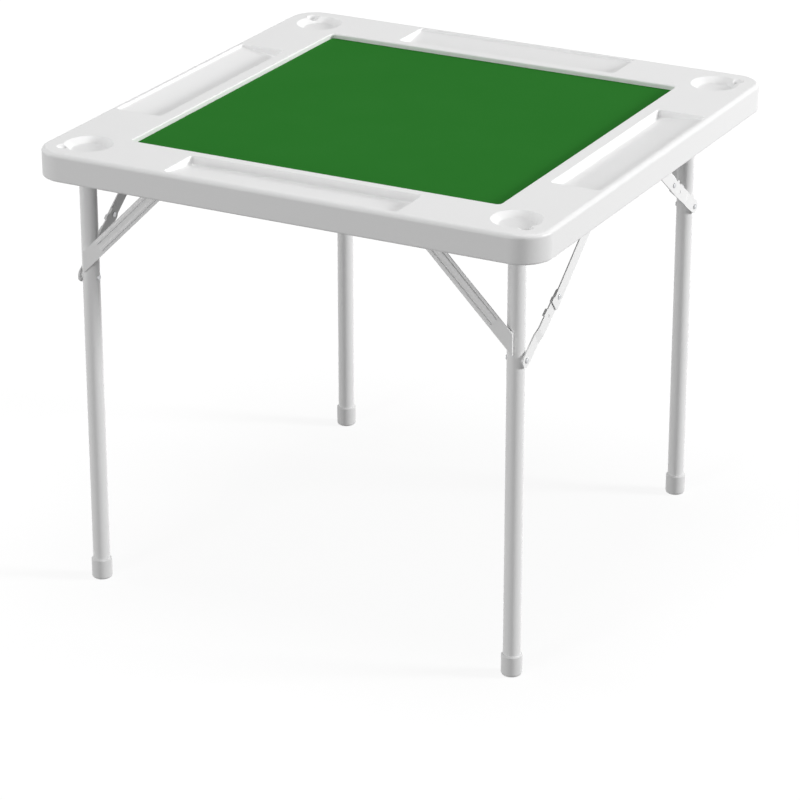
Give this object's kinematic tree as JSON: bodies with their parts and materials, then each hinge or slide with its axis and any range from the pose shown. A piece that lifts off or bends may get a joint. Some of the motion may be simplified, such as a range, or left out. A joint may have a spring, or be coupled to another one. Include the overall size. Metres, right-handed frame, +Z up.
{
  "type": "folding card table",
  "caption": "Square card table with a moulded top, sunk green playing mat, chip trays and cup rests, on two tubular leg frames that fold flat under the top.",
  "frame": {"origin": "on the floor, under the centre of the square top, with the legs down", "axes": "+Z up; +X along the pivot axes of the leg frames, to the right of a player at the front; -Y towards the front, the side whose legs stand further apart"},
  "size_m": [0.88, 0.88, 0.75],
  "materials": {
    "moulded_plastic": "satin moulded white plastic",
    "green_mat": "smooth green playing mat",
    "white_coated_steel": "satin white powder coat on steel",
    "foot_plastic": "satin moulded white plastic",
    "bare_steel": "zinc plated steel"
  },
  "bodies": {
    "top": {"table_top": "moulded_plastic", "playing_mat": "green_mat", "front_hanger_pins": "bare_steel", "front_clip_screws": "bare_steel", "front_hanger_screws": "bare_steel", "front_left_hanger": "white_coated_steel", "front_left_tube_clip": "white_coated_steel", "front_right_hanger": "white_coated_steel", "front_right_tube_clip": "white_coated_steel", "back_hanger_pins": "bare_steel", "back_clip_screws": "bare_steel", "back_hanger_screws": "bare_steel", "back_left_hanger": "white_coated_steel", "back_left_tube_clip": "white_coated_steel", "back_right_hanger": "white_coated_steel", "back_right_tube_clip": "white_coated_steel"},
    "front_legs": {"front_cross_tube": "white_coated_steel", "front_brace_rivets": "bare_steel", "front_left_leg": "white_coated_steel", "front_left_brace": "white_coated_steel", "front_left_strut_bracket": "white_coated_steel", "front_left_foot_cap": "foot_plastic", "front_left_strut_rivet": "bare_steel", "front_right_leg": "white_coated_steel", "front_right_brace": "white_coated_steel", "front_right_strut_bracket": "white_coated_steel", "front_right_foot_cap": "foot_plastic", "front_right_strut_rivet": "bare_steel"},
    "front_left_lower_strut": {"front_left_lower_link": "white_coated_steel", "front_left_knee_rivet_tail": "bare_steel"},
    "front_left_upper_strut": {"front_left_upper_link": "white_coated_steel", "front_left_knee_rivet": "bare_steel"},
    "front_right_lower_strut": {"front_right_lower_link": "white_coated_steel", "front_right_knee_rivet_tail": "bare_steel"},
    "front_right_upper_strut": {"front_right_upper_link": "white_coated_steel", "front_right_knee_rivet": "bare_steel"},
    "back_legs": {"back_cross_tube": "white_coated_steel", "back_brace_rivets": "bare_steel", "back_left_leg": "white_coated_steel", "back_left_brace": "white_coated_steel", "back_left_strut_bracket": "white_coated_steel", "back_left_foot_cap": "foot_plastic", "back_left_strut_rivet": "bare_steel", "back_right_leg": "white_coated_steel", "back_right_brace": "white_coated_steel", "back_right_strut_bracket": "white_coated_steel", "back_right_foot_cap": "foot_plastic", "back_right_strut_rivet": "bare_steel"},
    "back_left_lower_strut": {"back_left_lower_link": "white_coated_steel", "back_left_knee_rivet_tail": "bare_steel"},
    "back_left_upper_strut": {"back_left_upper_link": "white_coated_steel", "back_left_knee_rivet": "bare_steel"},
    "back_right_lower_strut": {"back_right_lower_link": "white_coated_steel", "back_right_knee_rivet_tail": "bare_steel"},
    "back_right_upper_strut": {"back_right_upper_link": "white_coated_steel", "back_right_knee_rivet": "bare_steel"}
  },
  "joints": [
    {"name": "front_legs_fold", "type": "hinge", "parent": "top", "child": "front_legs", "pos_m": [0, -0.375, 0.713], "axis": [1, 0, 0], "range_deg": [0, 90]},
    {"name": "front_left_lower_strut_turn", "type": "hinge", "parent": "front_legs", "child": "front_left_lower_strut", "pos_m": [-0.3753, -0.375, 0.529], "axis": [1, 0, 0], "range_deg": [0, 55]},
    {"name": "front_left_upper_strut_turn", "type": "hinge", "parent": "top", "child": "front_left_upper_strut", "pos_m": [-0.3753, -0.12547, 0.713], "axis": [-1, 0, 0], "range_deg": [0, 39]},
    {"name": "front_right_lower_strut_turn", "type": "hinge", "parent": "front_legs", "child": "front_right_lower_strut", "pos_m": [0.3753, -0.375, 0.529], "axis": [1, 0, 0], "range_deg": [0, 55]},
    {"name": "front_right_upper_strut_turn", "type": "hinge", "parent": "top", "child": "front_right_upper_strut", "pos_m": [0.3753, -0.12547, 0.713], "axis": [-1, 0, 0], "range_deg": [0, 39]},
    {"name": "back_legs_fold", "type": "hinge", "parent": "top", "child": "back_legs", "pos_m": [0, 0.375, 0.713], "axis": [-1, 0, 0], "range_deg": [0, 90]},
    {"name": "back_left_lower_strut_turn", "type": "hinge", "parent": "back_legs", "child": "back_left_lower_strut", "pos_m": [-0.3254, 0.375, 0.529], "axis": [-1, 0, 0], "range_deg": [0, 55]},
    {"name": "back_left_upper_strut_turn", "type": "hinge", "parent": "top", "child": "back_left_upper_strut", "pos_m": [-0.3254, 0.12547, 0.713], "axis": [1, 0, 0], "range_deg": [0, 39]},
    {"name": "back_right_lower_strut_turn", "type": "hinge", "parent": "back_legs", "child": "back_right_lower_strut", "pos_m": [0.3254, 0.375, 0.529], "axis": [-1, 0, 0], "range_deg": [0, 55]},
    {"name": "back_right_upper_strut_turn", "type": "hinge", "parent": "top", "child": "back_right_upper_strut", "pos_m": [0.3254, 0.12547, 0.713], "axis": [1, 0, 0], "range_deg": [0, 39]}
  ],
  "couplings": [
    {"joint": "front_left_lower_strut_turn", "follows": "front_legs_fold", "ratio": 0.61064},
    {"joint": "front_left_upper_strut_turn", "follows": "front_legs_fold", "ratio": 0.42452},
    {"joint": "front_right_lower_strut_turn", "follows": "front_legs_fold", "ratio": 0.61064},
    {"joint": "front_right_upper_strut_turn", "follows": "front_legs_fold", "ratio": 0.42452},
    {"joint": "back_left_lower_strut_turn", "follows": "back_legs_fold", "ratio": 0.61064},
    {"joint": "back_left_upper_strut_turn", "follows": "back_legs_fold", "ratio": 0.42452},
    {"joint": "back_right_lower_strut_turn", "follows": "back_legs_fold", "ratio": 0.61064},
    {"joint": "back_right_upper_strut_turn", "follows": "back_legs_fold", "ratio": 0.42452}
  ]
}
